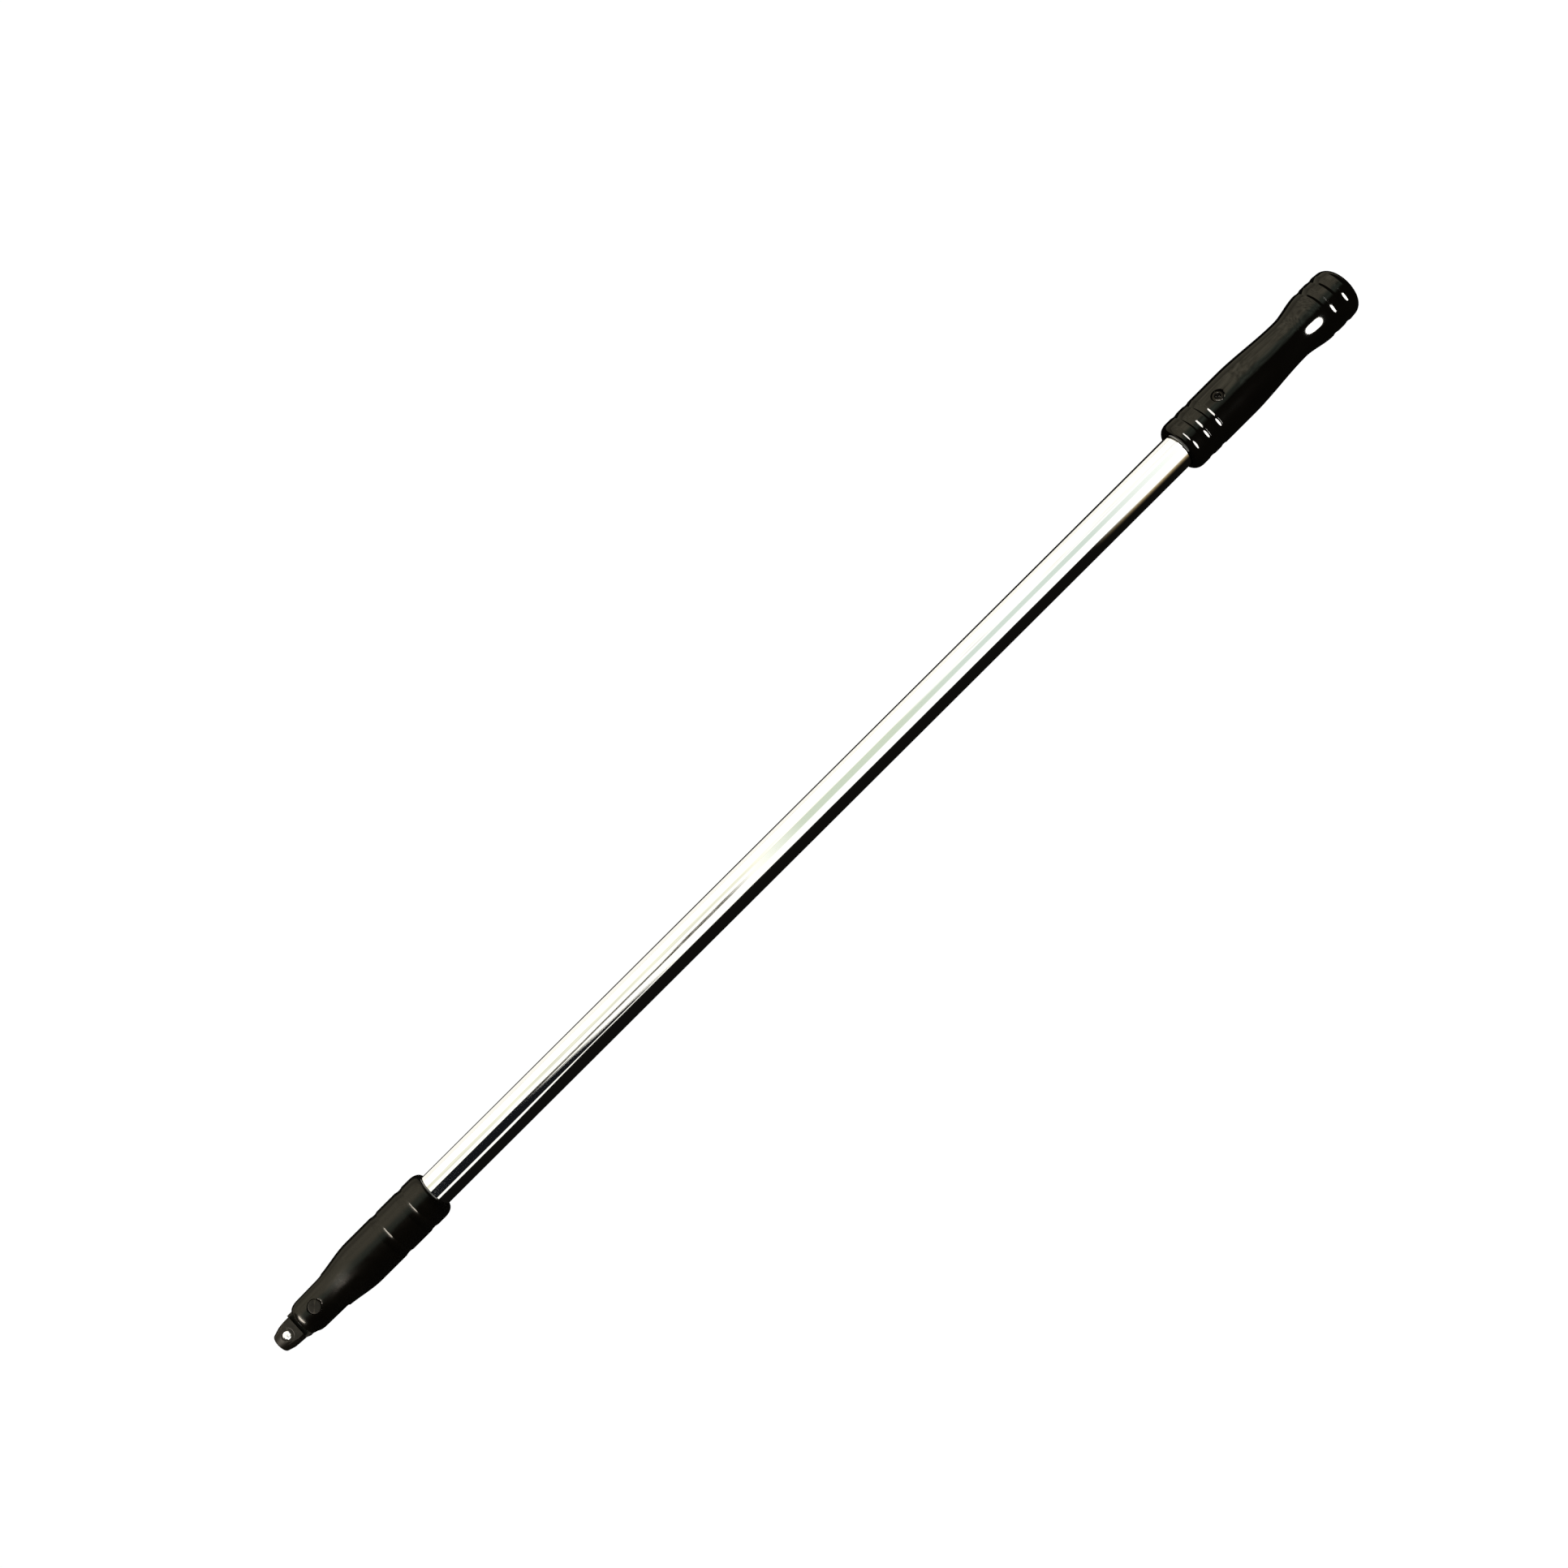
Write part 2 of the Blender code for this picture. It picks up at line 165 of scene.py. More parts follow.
# Set screw. The distances of its parts from the bar's axis end in _R too.
SCREW_LEAN = math.radians(16)
SCREW_R = 0.0032
SCREW_TOP_R = 0.0137
SCREW_STEP_R = 0.0097
SCREW_POINT_R = 0.0080
SCREW_POINT_WIDTH = 0.0042
SCREW_CHAMFER = (0.0007, 0.0004)  # across and along the screw
SCREW_EDGE = 0.0002
SCREW_COUNTERSINK = 0.0004
HEX_ACROSS_FLATS = 0.0032
HEX_DEPTH = 0.0028

PIN_MIDDLE = middle_of("hinge_pin")
PIN_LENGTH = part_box("hinge_pin")[1].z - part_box("hinge_pin")[0].z
BALL_MIDDLE = middle_of("detent_ball")
SCREW_X = middle_of("grip_screw").x

ALONG_BAR = Matrix.Translation((TIP_X, 0, AXIS_Z)) @ Matrix.Rotation(QUARTER, 4, "Y")
SCREW_FRAME = Matrix.Translation((SCREW_X, 0, AXIS_Z)) @ Matrix.Rotation(-SCREW_LEAN, 4, "X")
PIN_AT = PIN_MIDDLE.x - TIP_X


# ---------------------------------------------------------------- shader nodes

NOISE_SPAN = (0.3, 0.7)  # where most of a noise's values lie


class Graph:
    """The nodes of a new material, with short ways to make the common ones."""

    def __init__(self, name):
        self.material = bpy.data.materials.new(name)
        self.material.use_nodes = True
        self.nodes = self.material.node_tree.nodes
        self.links = self.material.node_tree.links

    def feed(self, socket, value):
        """A number or a colour is set on the socket, and a node's output is linked to it."""
        if isinstance(value, tuple):
            socket.default_value = (*value, 1)
        elif isinstance(value, (int, float)):
            socket.default_value = value
        else:
            self.links.new(value, socket)

    def mapped(self, value, from_low, from_high, low, high, clamp=True):
        node = self.nodes.new("ShaderNodeMapRange")
        node.clamp = clamp
        limits = {"From Min": from_low, "From Max": from_high, "To Min": low, "To Max": high}
        for name, number in limits.items():
            node.inputs[name].default_value = number
        self.links.new(value, node.inputs["Value"])
        return node.outputs["Result"]

    def math(self, operation, first, second):
        node = self.nodes.new("ShaderNodeMath")
        node.operation = operation
        for socket, value in zip(node.inputs, (first, second)):
            self.feed(socket, value)
        return node.outputs[0]

    def times(self, first, second):
        return self.math("MULTIPLY", first, second)

    def mixed(self, factor, first, second):
        """The first colour where the factor is 0, and the second where it is 1."""
        node = self.nodes.new("ShaderNodeMix")
        node.data_type = "RGBA"
        sockets = [s for s in node.inputs if s.type == "RGBA"]
        for socket, colour in zip(sockets, (first, second)):
            self.feed(socket, colour)
        self.links.new(factor, node.inputs["Factor"])
        return next(s for s in node.outputs if s.type == "RGBA")

    def noise_over(self, place, detail, roughness):
        noise = self.nodes.new("ShaderNodeTexNoise")
        noise.inputs["Scale"].default_value = 1.0
        noise.inputs["Detail"].default_value = detail
        noise.inputs["Roughness"].default_value = roughness
        self.links.new(place, noise.inputs["Vector"])
        return noise.outputs["Fac"]

    def light(self, colour, strength):
        """The surface only gives light, and everything is seen through it."""
        emission = self.nodes.new("ShaderNodeEmission")
        self.feed(emission.inputs["Color"], colour)
        emission.inputs["Strength"].default_value = strength
        clear = self.nodes.new("ShaderNodeBsdfTransparent")
        both = self.nodes.new("ShaderNodeAddShader")
        output = self.nodes.new("ShaderNodeOutputMaterial")
        self.links.new(emission.outputs[0], both.inputs[0])
        self.links.new(clear.outputs[0], both.inputs[1])
        self.links.new(both.outputs[0], output.inputs["Surface"])
        return self.material


# ---------------------------------------------------------------- finishes


class Finish(Graph):
    """A procedural finish on the Principled shader, in the piece's own coordinates in metres."""

    def __init__(self, name, metallic, roughness, colour):
        super().__init__(name)
        self.shader = self.nodes["Principled BSDF"]
        self.shader.inputs["Metallic"].default_value = metallic
        self.shader.inputs["Roughness"].default_value = roughness
        self.shader.inputs["Base Color"].default_value = (*colour, 1)
        self.place = self.nodes.new("ShaderNodeTexCoord").outputs["Object"]

    def noise(self, per_metre, detail=3.0, roughness=0.55):
        """Noise with this many cycles per metre along X, Y and Z."""
        scaled = self.nodes.new("ShaderNodeVectorMath")
        scaled.operation = "MULTIPLY"
        scaled.inputs[1].default_value = per_metre
        self.links.new(self.place, scaled.inputs[0])
        return self.noise_over(scaled.outputs[0], detail, roughness)

    def edges(self, low, high):
        """1 on outer edges, where a finish wears first, else 0."""
        pointiness = self.nodes.new("ShaderNodeNewGeometry").outputs["Pointiness"]
        return self.mapped(pointiness, low, high, 0.0, 1.0)

    def colour(self, value, first, second):
        self.links.new(self.mixed(value, first, second), self.shader.inputs["Base Color"])

    def roughness(self, value, low, high):
        """The roughness runs from low to high with the noise."""
        self.links.new(self.mapped(value, *NOISE_SPAN, low, high), self.shader.inputs["Roughness"])

    def bump(self, height, distance):
        node = self.nodes.new("ShaderNodeBump")
        node.inputs["Distance"].default_value = distance
        self.links.new(height, node.inputs["Height"])
        before = self.shader.inputs["Normal"].links
        if before:
            self.links.new(before[0].from_socket, node.inputs["Normal"])
        self.links.new(node.outputs["Normal"], self.shader.inputs["Normal"])


def chrome_finish():
    finish = Finish("chrome", 1.0, 0.06, (0.9, 0.9, 0.89))
    haze = finish.noise((14, 90, 90))
    finish.colour(haze, (0.86, 0.86, 0.85), (0.94, 0.94, 0.93))
    finish.roughness(haze, 0.035, 0.075)
    finish.bump(finish.noise((9, 60, 60)), 0.00006)
    finish.bump(finish.noise((160, 1400, 1400), 2.0), 0.0000015)
    return finish.material


def ball_finish():
    finish = Finish("ball_steel", 1.0, 0.2, (0.97, 0.97, 0.96))
    finish.roughness(finish.noise((900, 900, 900)), 0.16, 0.26)
    return finish.material


def grip_finish():
    finish = Finish("gloss_enamel", 0.0, 0.1, (0.004, 0.0036, 0.003))
    cloud = finish.noise((45, 110, 110), 5.0)
    finish.colour(cloud, (0.0006, 0.0005, 0.0004), (0.0014, 0.0012, 0.0009))
    finish.roughness(cloud, 0.03, 0.09)
    finish.bump(finish.noise((60, 320, 320), 3.0), 0.000016)
    return finish.material


def head_finish():
    finish = Finish("satin_enamel", 0.0, 0.3, (0.004, 0.0036, 0.003))
    cloud = finish.noise((85, 110, 110), 6.0, 0.65)
    finish.colour(cloud, (0.0018, 0.0016, 0.0011), (0.0045, 0.0038, 0.0028))
    finish.roughness(cloud, 0.17, 0.25)
    finish.bump(finish.noise((260, 420, 420), 4.0, 0.6), 0.00003)
    return finish.material


def phosphate_finish():
    finish = Finish("phosphate", 0.0, 0.45, (0.012, 0.010, 0.008))
    grain = finish.noise((1500, 1500, 1500), 5.0, 0.7)
    cloud = finish.noise((180, 180, 180), 3.0)
    dark = finish.mixed(cloud, (0.0050, 0.0042, 0.0032), (0.0110, 0.0092, 0.0070))
    worn = finish.times(finish.edges(0.53, 0.60), finish.mapped(grain, 0.4, 0.65, 0.15, 0.8))
    finish.colour(worn, dark, (0.07, 0.064, 0.056))
    finish.roughness(cloud, 0.36, 0.5)
    finish.shader.inputs["Specular IOR Level"].default_value = 0.3
    finish.bump(grain, 0.00003)
    return finish.material


def screw_finish():
    finish = Finish("black_oxide", 0.9, 0.25, (0.02, 0.018, 0.016))
    cloud = finish.noise((900, 900, 900), 3.0)
    finish.colour(cloud, (0.014, 0.013, 0.012), (0.030, 0.028, 0.025))
    finish.roughness(cloud, 0.14, 0.24)
    return finish.material


def steel_finish():
    finish = Finish("spring_wire", 1.0, 0.35, (0.35, 0.35, 0.36))
    drawn = finish.noise((1500, 1500, 300))
    finish.colour(drawn, (0.27, 0.27, 0.28), (0.42, 0.42, 0.43))
    finish.roughness(drawn, 0.28, 0.45)
    return finish.material


CHROME = chrome_finish()
BALL_STEEL = ball_finish()
GLOSS = grip_finish()
SATIN = head_finish()
PHOSPHATE = phosphate_finish()
BLACK_OXIDE = screw_finish()
SPRING_WIRE = steel_finish()


# ---------------------------------------------------------------- outlines, as (distance, radius) points


def ellipse_arc(centre, semi_axes, start, end, steps):
    """Points from angle start to end, both from +distance towards +radius."""
    angles = [start + (end - start) * i / steps for i in range(steps + 1)]
    return [(centre[0] + semi_axes[0] * math.cos(a), centre[1] + semi_axes[1] * math.sin(a)) for a in angles]


def s_curve(start, end, steps=28):
    """Points of a smooth step that leaves start and reaches end level."""
    made = []
    for i in range(steps + 1):
        u = i / steps
        ease = u * u * (3 - 2 * u)
        made.append((start[0] + (end[0] - start[0]) * u, start[1] + (end[1] - start[1]) * ease))
    return made


def groove(middle_at, width, depth, radius, steps=14):
    """Points across a hollow groove with crisp edges."""
    made = []
    for i in range(steps + 1):
        u = 2 * i / steps - 1
        made.append((middle_at + u * width / 2, radius - depth * (1 - u * u)))
    return made


def softened(outline, radius=CORNER_R, from_angle=math.radians(12), steps=3):
    """The outline with each corner sharper than from_angle rounded to about this radius."""
    made = [outline[0]]
    for before, corner, after in zip(outline, outline[1:], outline[2:]):
        back = Vector(before) - Vector(corner)
        ahead = Vector(after) - Vector(corner)
        turn = math.pi - back.angle(ahead)
        if turn < from_angle or corner[1] <= 0:
            made.append(corner)
            continue
        reach = min(radius * math.tan(turn / 2), 0.45 * back.length, 0.45 * ahead.length)
        first = Vector(corner) + back.normalized() * reach
        last = Vector(corner) + ahead.normalized() * reach
        for i in range(steps + 1):
            u = i / steps
            point = first * (1 - u) ** 2 + Vector(corner) * 2 * u * (1 - u) + last * u**2
            made.append((point.x, point.y))
    made.append(outline[-1])
    return made


# ---------------------------------------------------------------- mesh helpers


def show(name, data):
    obj = bpy.data.objects.new(name, data)
    bpy.context.scene.collection.objects.link(obj)
    return obj


def with_guards(outline, reach=0.0004):
    """The outline with a point near both ends of each long stretch, so that its shading stays straight."""
    made = [outline[0]]
    for before, after in zip(outline, outline[1:]):
        first, last = Vector(before), Vector(after)
        step = (last - first).normalized() * reach
        if (last - first).length > 3 * reach:
            made.append(tuple(first + step))
            made.append(tuple(last - step))
        made.append(after)
    return made


def turned_faces(rings, steps):
    """The faces between rings of points, and from the first and last ring to one point each."""
    last = 1 + rings * steps
    end_ring = last - steps
    faces = []
    for k in range(steps):
        after = (k + 1) % steps
        faces.append((0, 1 + k, 1 + after))
        faces.append((last, end_ring + after, end_ring + k))
        for ring in range(rings - 1):
            a, b = 1 + ring * steps, 1 + (ring + 1) * steps
            faces.append((a + k, b + k, b + after, a + after))
    return faces


def turned_mesh(name, outline, place, steps=TURN_STEPS):
    """The solid that the outline makes when it turns about its own Z, put in place.

    The outline starts and ends on Z.
    """
    outline = with_guards(outline)
    rings = outline[1:-1]
    verts = [(0, 0, outline[0][0])]
    for at, r in rings:
        for k in range(steps):
            angle = 2 * math.pi * (k + 0.5) / steps
            verts.append((r * math.cos(angle), r * math.sin(angle), at))
    verts.append((0, 0, outline[-1][0]))
    mesh = bpy.data.meshes.new(name)
    mesh.from_pydata([place @ Vector(v) for v in verts], [], turned_faces(len(rings), steps))
    bm = bmesh.new()
    bm.from_mesh(mesh)
    bmesh.ops.recalc_face_normals(bm, faces=bm.faces)
    bm.to_mesh(mesh)
    bm.free()
    return mesh


def box_mesh(name, size, centre):
    bm = bmesh.new()
    bmesh.ops.create_cube(bm, size=1.0, matrix=Matrix.Translation(centre) @ Matrix.Diagonal((*size, 1.0)))
    mesh = bpy.data.meshes.new(name)
    bm.to_mesh(mesh)
    bm.free()
    return mesh


def rod_outline(start, end, radius):
    return [(start, 0), (start, radius), (end, radius), (end, 0)]


def combine(obj, mesh, operation="DIFFERENCE"):
    """Cuts the mesh out of the object, joins it, or keeps what both share, and closes up slivers."""
    other = show(mesh.name, mesh)
    boolean = obj.modifiers.new(mesh.name, "BOOLEAN")
    boolean.operation = operation
    boolean.object = other
    boolean.solver = "EXACT"
    settle(obj)
    bpy.data.objects.remove(other)
    bm = bmesh.new()
    bm.from_mesh(obj.data)
    bmesh.ops.dissolve_degenerate(bm, dist=SLIVER, edges=bm.edges)
    bm.to_mesh(obj.data)
    bm.free()


def settle(obj):
    """Puts what the modifiers make into the mesh."""
    graph = bpy.context.evaluated_depsgraph_get()
    graph.update()
    mesh = bpy.data.meshes.new_from_object(obj.evaluated_get(graph))
    obj.modifiers.clear()
    obj.data = mesh


def round_edges(obj, width, from_degrees, segments=3):
    """Rounds the sharper edges, but never so far that the mesh crosses itself."""
    bevel = obj.modifiers.new("rounding", "BEVEL")
    bevel.limit_method = "ANGLE"
    bevel.angle_limit = math.radians(from_degrees)
    bevel.width = width
    bevel.segments = segments
    bevel.use_clamp_overlap = True
    bevel.harden_normals = True
    settle(obj)


def shade(obj):
    """Smooth shading that stays true on the flats and breaks at the edges."""
    obj.data.shade_smooth()
    obj.data.set_sharp_from_angle(angle=SHARP_ANGLE)
    weighted = obj.modifiers.new("shading", "WEIGHTED_NORMAL")
    weighted.keep_sharp = True
    settle(obj)


def finish_piece(obj, node, body, material):
    """The piece gets its finish, stands for its CAD node, and rides on its body."""
    shade(obj)
    obj.data.materials.clear()
    obj.data.materials.append(material)
    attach(obj, body)
    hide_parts(node)
    return obj


# ---------------------------------------------------------------- pieces


def make_bar():
    start, end = SOCKET_FLOOR_AT + GAP, GRIP_BORE_FLOOR_AT - GAP
    outline = [
        (start, 0), (start, BAR_R - BAR_CHAMFER), (start + BAR_CHAMFER, BAR_R),
        (end - BAR_CHAMFER, BAR_R), (end, BAR_R - BAR_CHAMFER), (end, 0),
    ]
    bar = show("bar_rod", turned_mesh("bar_rod", softened(outline), ALONG_BAR))
    seat = rod_outline(SCREW_POINT_R - GAP, GRIP_BODY_R + OVERSHOOT, SCREW_POINT_WIDTH / 2 + GAP)
    combine(bar, turned_mesh("seat", seat, SCREW_FRAME, SMALL_STEPS))
    return finish_piece(bar, "bar", "handle", CHROME)


def yoke_outline():
    nose = ellipse_arc(
        (WAIST_FROM_AT, EAR_END_R), (WAIST_FROM_AT - EAR_END_AT, WAIST_START_R - EAR_END_R),
        math.pi, QUARTER, 16,
    )
    body = s_curve((WAIST_TO_AT, WAIST_END_R), (YOKE_BODY_AT, YOKE_BODY_R))
    grooves = [
        point
        for at in YOKE_GROOVES_AT
        for point in groove(at, YOKE_GROOVE_WIDTH, YOKE_GROOVE_DEPTH, YOKE_BODY_R)
    ]
    mouth = ellipse_arc(
        (YOKE_MOUTH_AT - MOUTH_ROUND[0], YOKE_BODY_R - MOUTH_ROUND[1]), MOUTH_ROUND,
        QUARTER, 0, 12,
    )
    socket_r = BAR_R + GAP
    socket = [(YOKE_MOUTH_AT, socket_r), (SOCKET_FLOOR_AT, socket_r), (SOCKET_FLOOR_AT, 0)]
    mouth = [point for point in mouth if point[1] > socket_r]
    return softened([(EAR_END_AT, 0)] + nose + body + grooves + mouth + socket, FORGED_CORNER_R)


def pin_hole_outline():
    """A hole right through the ears, with a chamfer where it leaves them."""
    hole_r = PIN_R + GAP
    rim = (WAIST_START_R + WAIST_END_R) / 2
    across, down = PIN_HOLE_CHAMFER
    wide = hole_r + across * (rim / down + 1)
    return [
        (-2 * rim, 0), (-2 * rim, wide), (-rim, hole_r + across), (-rim + down, hole_r),
        (rim - down, hole_r), (rim, hole_r + across), (2 * rim, wide), (2 * rim, 0),
    ]


def make_yoke():
    yoke = show("yoke_head", turned_mesh("yoke_head", yoke_outline(), ALONG_BAR))
    slot_length = SLOT_FLOOR_AT - EAR_END_AT + OVERSHOOT
    slot_middle = (TIP_X + SLOT_FLOOR_AT - slot_length / 2, 0, AXIS_Z)
    combine(yoke, box_mesh("slot", (slot_length, 4 * YOKE_BODY_R, SLOT_WIDTH), slot_middle))
    combine(yoke, turned_mesh("pin_hole", pin_hole_outline(), Matrix.Translation(PIN_MIDDLE), PIN_STEPS))
    plunger_hole = rod_outline(SLOT_FLOOR_AT - OVERSHOOT, PLUNGER_HOLE_TO_AT, PLUNGER_HOLE_R)
    combine(yoke, turned_mesh("plunger_hole", plunger_hole, ALONG_BAR, SMALL_STEPS))
    round_edges(yoke, YOKE_EDGE, 32)
    return finish_piece(yoke, "yoke", "handle", SATIN)


def make_hinge_pin():
    half = PIN_LENGTH / 2
    outline = softened(rod_outline(-half, half, PIN_R), FORGED_CORNER_R)
    pin = show("pin", turned_mesh("pin", outline, Matrix.Translation(PIN_MIDDLE), PIN_STEPS))
    return finish_piece(pin, "hinge_pin", "handle", PHOSPHATE)


def square_blank():
    """What the square is cut from. It rounds the corners and the nose, and its Z is 0 on the hinge's axis."""
    tip = ellipse_arc(
        (NOSE_ROUND - PIN_AT, NOSE_FLAT_R), (NOSE_ROUND, NOSE_ROUND), math.pi, QUARTER + NOSE_SLOPE, 10
    )
    outline = [(-PIN_AT, 0)] + tip + [
        (NOSE_LENGTH - PIN_AT, SQUARE_CORNER_R),
        (-SHOULDER_FROM_PIN, SQUARE_CORNER_R),
        (-SHOULDER_FROM_PIN, 0),
    ]
    place = Matrix.Translation(PIN_MIDDLE) @ Matrix.Rotation(QUARTER, 4, "Y")
    return turned_mesh("blank", outline, place)


def square_mesh():
    length = PIN_AT - SHOULDER_FROM_PIN + OVERSHOOT
    middle_x = PIN_MIDDLE.x - SHOULDER_FROM_PIN - length / 2
    return box_mesh("square_drive", (length, SQUARE, SQUARE), (middle_x, 0, AXIS_Z))


def tongue_mesh():
    length = PIN_AT - TONGUE_FROM_AT
    return box_mesh(
        "tongue", (length, TONGUE_WIDTH, TONGUE_THICKNESS), (PIN_MIDDLE.x - length / 2, 0, AXIS_Z)
    )


def ball_hole_outline():
    """The ball's hole, with the lip that holds the ball in and the shallow dish around it."""
    top = SQUARE / 2
    floor = top - BALL_HOLE_DEPTH
    lip = top - BALL_LIP_DEPTH
    dish = top - STAKE_DEPTH
    wide = STAKE_R + STAKE_DEPTH
    return [
        (floor, 0), (floor, BALL_HOLE_R), (lip, BALL_HOLE_R), (lip, BALL_LIP_R), (dish, BALL_LIP_R),
        (dish, STAKE_R), (top, wide), (top + OVERSHOOT, wide), (top + OVERSHOOT, 0),
    ]


def make_drive():
    drive = show("square_drive", square_mesh())
    combine(drive, square_blank(), "INTERSECT")
    combine(drive, tongue_mesh(), "UNION")
    at_pin = Matrix.Translation(PIN_MIDDLE)
    knuckle = rod_outline(-TONGUE_THICKNESS / 2, TONGUE_THICKNESS / 2, KNUCKLE_R)
    combine(drive, turned_mesh("knuckle", knuckle, at_pin, KNUCKLE_STEPS), "UNION")
    hole = rod_outline(-SQUARE, SQUARE, PIN_R + GAP)
    combine(drive, turned_mesh("hole", hole, at_pin, PIN_STEPS))
    round_edges(drive, DRIVE_EDGE, 40)
    at_ball = Matrix.Translation((BALL_MIDDLE.x, 0, AXIS_Z))
    combine(drive, turned_mesh("ball_hole", ball_hole_outline(), at_ball, PIN_STEPS))
    return finish_piece(drive, "drive", "drive", PHOSPHATE)


def make_ball():
    outline = ellipse_arc((0, 0), (BALL_R, BALL_R), math.pi, 0, 40)
    outline = [(at, max(r, 0)) for at, r in outline]
    ball = show("ball", turned_mesh("ball", outline, Matrix.Translation(BALL_MIDDLE), PIN_STEPS))
    return finish_piece(ball, "detent_ball", "ball", BALL_STEEL)


def grip_outline():
    shoulder = ellipse_arc(
        (GRIP_MOUTH_AT + GRIP_SHOULDER, GRIP_MOUTH_R), (GRIP_SHOULDER, GRIP_BODY_R - GRIP_MOUTH_R),
        math.pi, QUARTER, 14,
    )
    front = [
        point
        for at in GRIP_GROOVES_AT
        for point in groove(at, GRIP_GROOVE_WIDTH, GRIP_GROOVE_DEPTH, GRIP_BODY_R)
    ]
    first, second = GRIP_END_GROOVES_AT
    taper = s_curve((GRIP_TAPER_AT, GRIP_BODY_R), (GRIP_WAIST_AT, GRIP_WAIST_R))
    flare = s_curve((GRIP_WAIST_AT, GRIP_WAIST_R), (first - GRIP_GROOVE_WIDTH / 2, GRIP_FLARE_R))
    back = groove(first, GRIP_GROOVE_WIDTH, GRIP_GROOVE_DEPTH, GRIP_FLARE_R)
    back += groove(second, GRIP_GROOVE_WIDTH, GRIP_GROOVE_DEPTH, GRIP_FLARE_R)
    end = ellipse_arc(
        (LENGTH - GRIP_END_ROUND_R, GRIP_END_BODY_R - GRIP_END_ROUND_R), (GRIP_END_ROUND_R, GRIP_END_ROUND_R),
        QUARTER, 0, 14,
    )
    bore_r = BAR_R + GAP
    bore = [(GRIP_BORE_FLOOR_AT, 0), (GRIP_BORE_FLOOR_AT, bore_r), (GRIP_MOUTH_AT, bore_r)]
    return softened(bore + shoulder + front + taper + flare[1:] + back[1:] + end + [(LENGTH, 0)])


def make_grip():
    grip = show("grip_sleeve", turned_mesh("grip_sleeve", grip_outline(), ALONG_BAR))
    hole_r = SCREW_R + GAP
    top = GRIP_BODY_R - SCREW_COUNTERSINK
    hole = [
        (BAR_R - OVERSHOOT, 0), (BAR_R - OVERSHOOT, hole_r), (top, hole_r),
        (top + OVERSHOOT, hole_r + OVERSHOOT), (top + OVERSHOOT, 0),
    ]
    combine(grip, turned_mesh("screw_hole", hole, SCREW_FRAME, PIN_STEPS))
    return finish_piece(grip, "grip", "handle", GLOSS)


def make_grip_screw():
    across, along = SCREW_CHAMFER
    outline = [
        (SCREW_POINT_R, 0), (SCREW_POINT_R, SCREW_POINT_WIDTH / 2), (SCREW_STEP_R, SCREW_POINT_WIDTH / 2),
        (SCREW_STEP_R, SCREW_R), (SCREW_TOP_R - along, SCREW_R),
        (SCREW_TOP_R, SCREW_R - across), (SCREW_TOP_R, 0),
    ]
    screw = show("set_screw", turned_mesh("set_screw", outline, SCREW_FRAME, SMALL_STEPS))
    corner = HEX_ACROSS_FLATS / 2 / math.cos(math.pi / 6)
    hexagon = rod_outline(SCREW_TOP_R - HEX_DEPTH, SCREW_TOP_R + OVERSHOOT, corner)
    combine(screw, turned_mesh("hexagon", hexagon, SCREW_FRAME, 6))
    round_edges(screw, SCREW_EDGE, 32, 2)
    return finish_piece(screw, "grip_screw", "handle", BLACK_OXIDE)


def coil_curve(name, coil, length, points_per_turn=32):
    """A wire that winds along its own Z from 0 to length."""
    coil_r, wire_r, turns = coil
    curve = bpy.data.curves.new(name, "CURVE")
    curve.dimensions = "3D"
    curve.bevel_depth = wire_r
    curve.bevel_resolution = 3
    curve.use_fill_caps = True
    count = turns * points_per_turn + 1
    spline = curve.splines.new("POLY")
    spline.points.add(count - 1)
    for i, point in enumerate(spline.points):
        angle = 2 * math.pi * i / points_per_turn
        z = wire_r + (length - 2 * wire_r) * i / (count - 1)
        point.co = (coil_r * math.cos(angle), coil_r * math.sin(angle), z, 1.0)
    return curve


def coil_mesh(name, coil, length, place):
    """A closed mesh of the wire, put in place."""
    wire = show(name, coil_curve(name, coil, length))
    mesh = bpy.data.meshes.new_from_object(wire.evaluated_get(bpy.context.evaluated_depsgraph_get()))
    bpy.data.objects.remove(wire)
    bm = bmesh.new()
    bm.from_mesh(mesh)
    bmesh.ops.remove_doubles(bm, verts=bm.verts, dist=coil[1] / 100)
    bm.transform(place)
    bm.to_mesh(mesh)
    bm.free()
    return mesh


def press(spring):
    """The spring gets a mesh of its own."""
    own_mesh(spring)


def make_detent_spring():
    low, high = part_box("detent_spring")
    length = high.z - low.z
    end = Vector((BALL_MIDDLE.x, 0, low.z))
    spring = show("ball_spring", coil_mesh("ball_spring", DETENT_COIL, length, Matrix.Translation(end)))
    finish_piece(spring, "detent_spring", "drive", SPRING_WIRE)
    press(spring)
    return spring


def make_tension_spring():
    low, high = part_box("tension_spring")
    length = high.x - low.x
    place = Matrix.Translation((low.x, 0, AXIS_Z)) @ Matrix.Rotation(QUARTER, 4, "Y")
    spring = show("plunger_spring", coil_mesh("plunger_spring", TENSION_COIL, length, place))
    finish_piece(spring, "tension_spring", "handle", SPRING_WIRE)
    press(spring)
    return spring


def dress_plunger():
    """The tension plunger keeps its CAD shape, inside the head."""
    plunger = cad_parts["tension_plunger"]
    for slot in plunger.material_slots:
        slot.material = PHOSPHATE
    return plunger


BAR = make_bar()
BALL = make_ball()
POLISHED = [BAR, BALL]
HEAD = [make_yoke(), make_hinge_pin(), make_drive()]
INSIDE = [make_detent_spring(), make_tension_spring(), dress_plunger()]
GRIP = [make_grip(), make_grip_screw()]


# ---------------------------------------------------------------- camera

